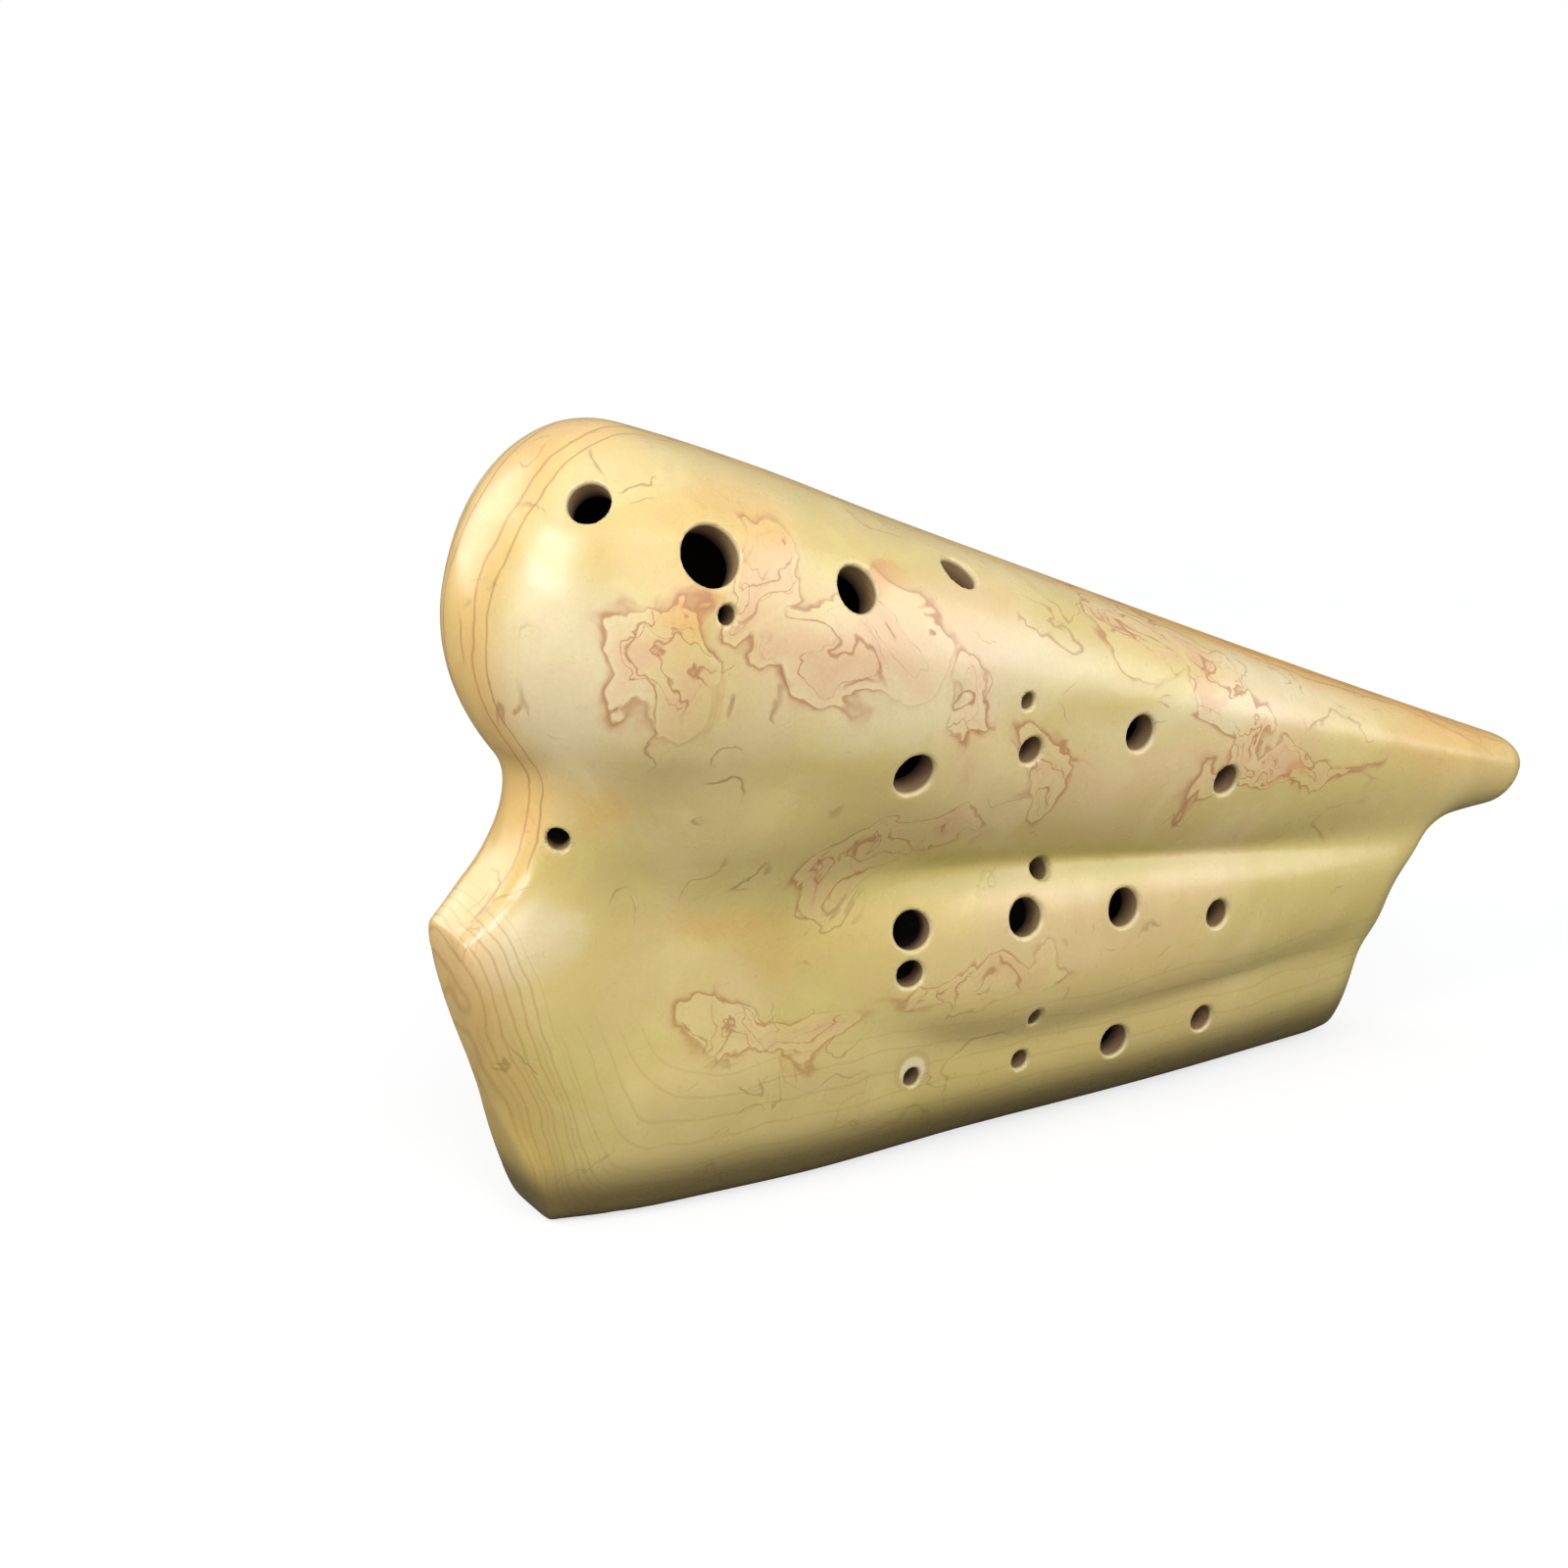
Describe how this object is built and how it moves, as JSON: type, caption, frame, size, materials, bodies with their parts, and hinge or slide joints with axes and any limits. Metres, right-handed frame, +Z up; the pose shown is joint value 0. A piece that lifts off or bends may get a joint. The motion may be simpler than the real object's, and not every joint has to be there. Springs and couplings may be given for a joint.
{
  "type": "triple ocarina",
  "caption": "Burnished clay ocarina with a stepped row of hollow chambers, each with its own windway in a slab mouthpiece; finger holes in front, thumb holes behind.",
  "frame": {"origin": "under the middle of the instrument's bounding box, on the surface that its flat lower edge stands on", "axes": "+X from the mouthpiece to the pointed tail, +Y from the finger side to the thumb side, +Z up from the flat lower edge to the large upper chamber"},
  "size_m": [0.191, 0.0516, 0.1095],
  "materials": {
    "burnished_clay": "pale cream fired clay marbled with brown, orange and red veins, burnished to a satin shine, unglazed"
  },
  "bodies": {
    "root": {"mouthpiece_block": "burnished_clay", "windway_roof_1": "burnished_clay", "windway_roof_2": "burnished_clay", "windway_roof_3": "burnished_clay", "chamber_1_front_shell": "burnished_clay", "chamber_1_back_shell": "burnished_clay", "chamber_2_front_shell": "burnished_clay", "chamber_2_back_shell": "burnished_clay", "chamber_3_front_shell": "burnished_clay", "chamber_3_back_shell": "burnished_clay"}
  },
  "joints": []
}
